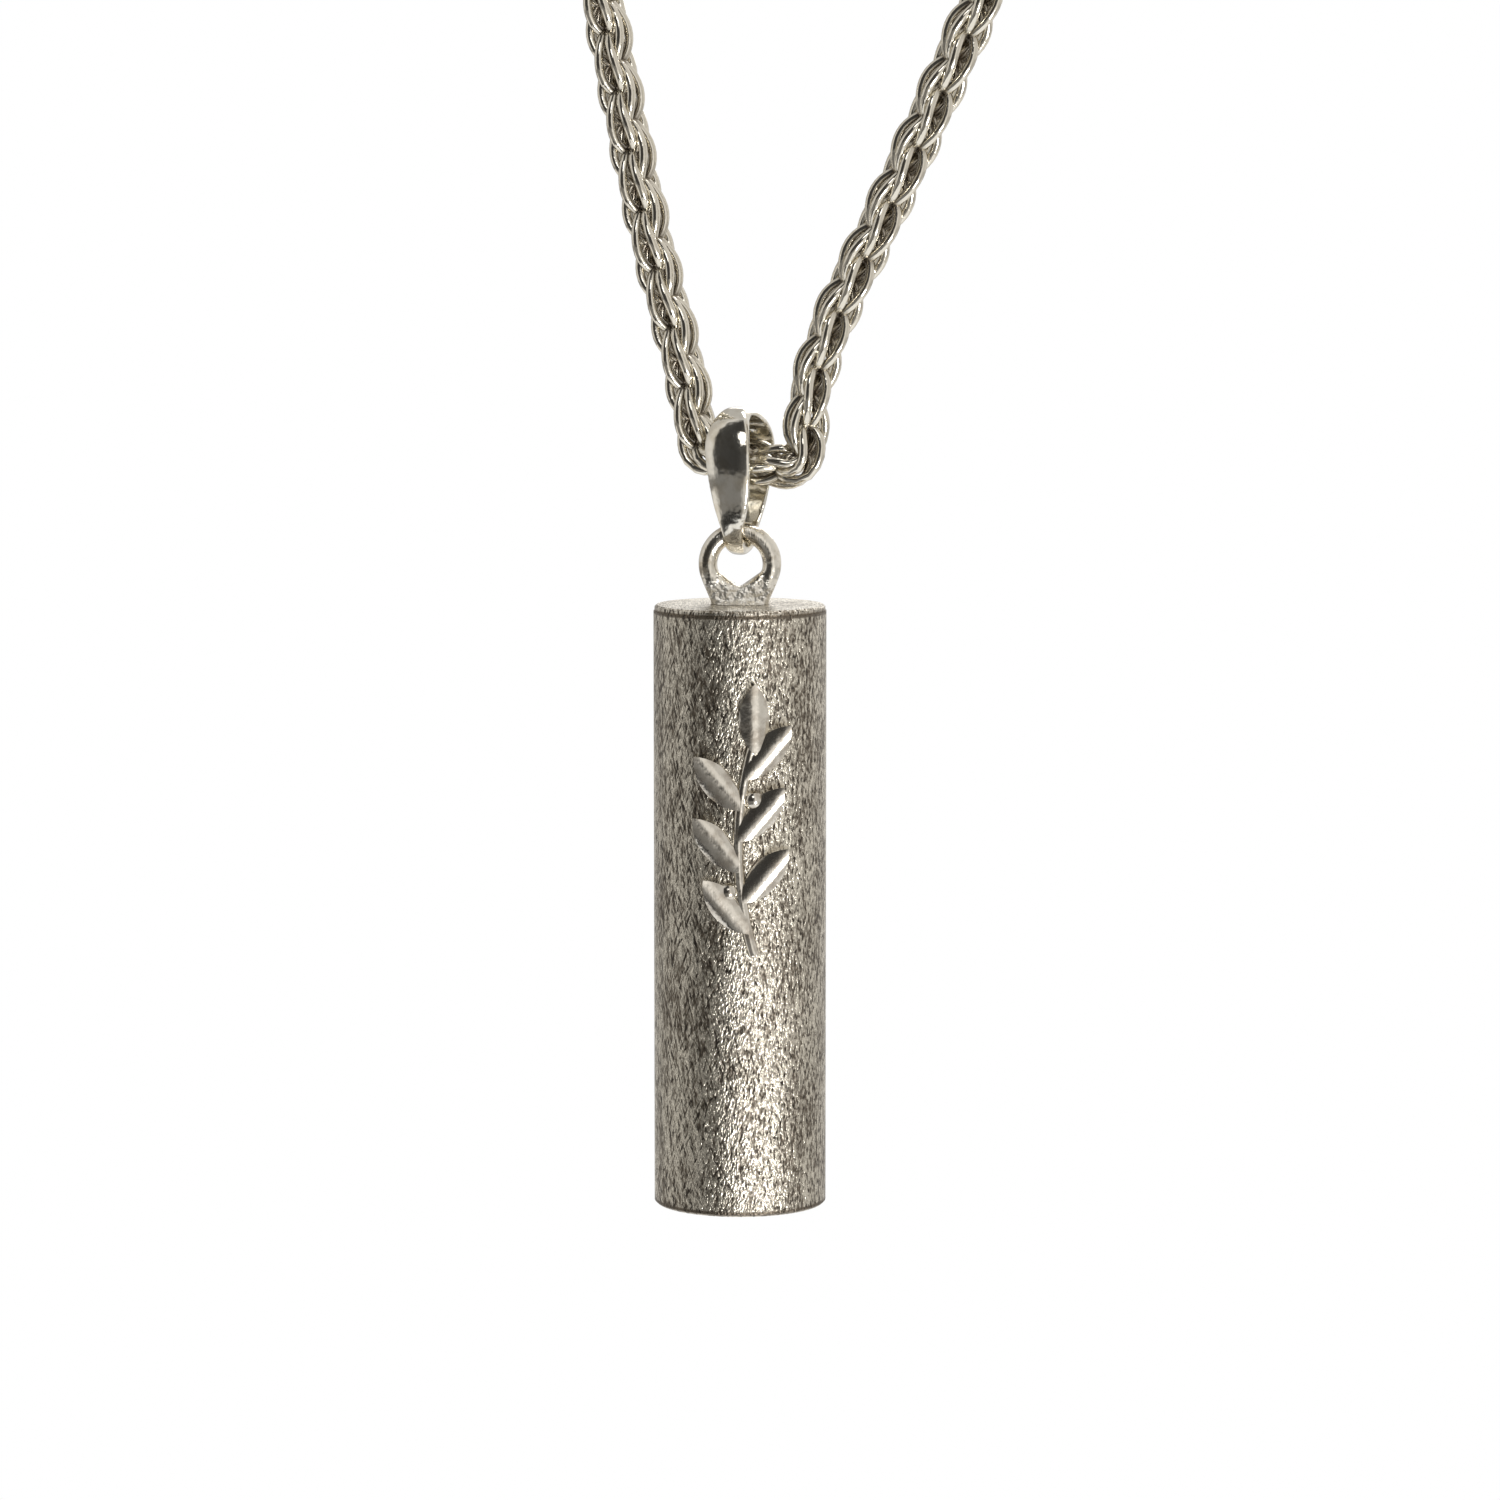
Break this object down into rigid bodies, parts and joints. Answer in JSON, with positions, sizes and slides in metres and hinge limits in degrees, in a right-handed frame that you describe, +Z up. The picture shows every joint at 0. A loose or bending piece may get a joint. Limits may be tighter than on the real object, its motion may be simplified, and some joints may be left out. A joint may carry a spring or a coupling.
{
  "type": "mezuzah case pendant",
  "caption": "Small brushed silver tube case for a rolled parchment, with a raised sprig on the front, worn from a folded bail on a wheat chain.",
  "frame": {"origin": "the turning centre of the bail, in the middle of its eye, where the chain carries the pendant", "axes": "+Z up along the hanging case, -Y towards the front that carries the sprig, +X to the front view's right"},
  "size_m": [0.0311, 0.015, 0.087],
  "materials": {
    "brushed_silver": "fine scratched satin finish",
    "polished_silver": "polished, slightly warm silver",
    "parchment": "matt prepared skin",
    "spring_steel": "drawn wire"
  },
  "bodies": {
    "chain": {"chain_left": "polished_silver", "chain_right": "polished_silver", "end_cup_left": "polished_silver", "end_cup_right": "polished_silver", "jump_ring": "polished_silver", "end_ring": "polished_silver", "clasp_body": "polished_silver", "lever_pin": "spring_steel", "lever_spring": "spring_steel"},
    "bail": {"bail": "polished_silver"},
    "case": {"case_tube": "brushed_silver", "top_cap": "brushed_silver", "hanging_loop": "polished_silver", "sprig_relief": "polished_silver"},
    "plug": {"bottom_plug": "brushed_silver"},
    "scroll": {"parchment_scroll": "parchment"},
    "lever": {"clasp_lever": "polished_silver"}
  },
  "joints": [
    {"name": "bail_swing", "type": "hinge", "parent": "chain", "child": "bail", "pos_m": [0, 0, 0], "axis": [0.9272, -0.3746, 0], "range_deg": [-80, 80]},
    {"name": "case_swing", "type": "hinge", "parent": "bail", "child": "case", "pos_m": [0, 0, -0.00627], "axis": [0, 1, 0], "range_deg": [-70, 70]},
    {"name": "plug_draw", "type": "slide", "parent": "case", "child": "plug", "axis": [0, 0, -1], "range_m": [0, 0.034]},
    {"name": "scroll_play", "type": "slide", "parent": "plug", "child": "scroll", "axis": [0, 0, 1], "range_m": [0, 0.0007]},
    {"name": "lever_press", "type": "hinge", "parent": "chain", "child": "lever", "pos_m": [-0.00921, 0.00372, 0.03755], "axis": [-0.3746, -0.9272, 0], "range_deg": [0, 28], "stiffness_Nm_per_rad": 0.004}
  ]
}
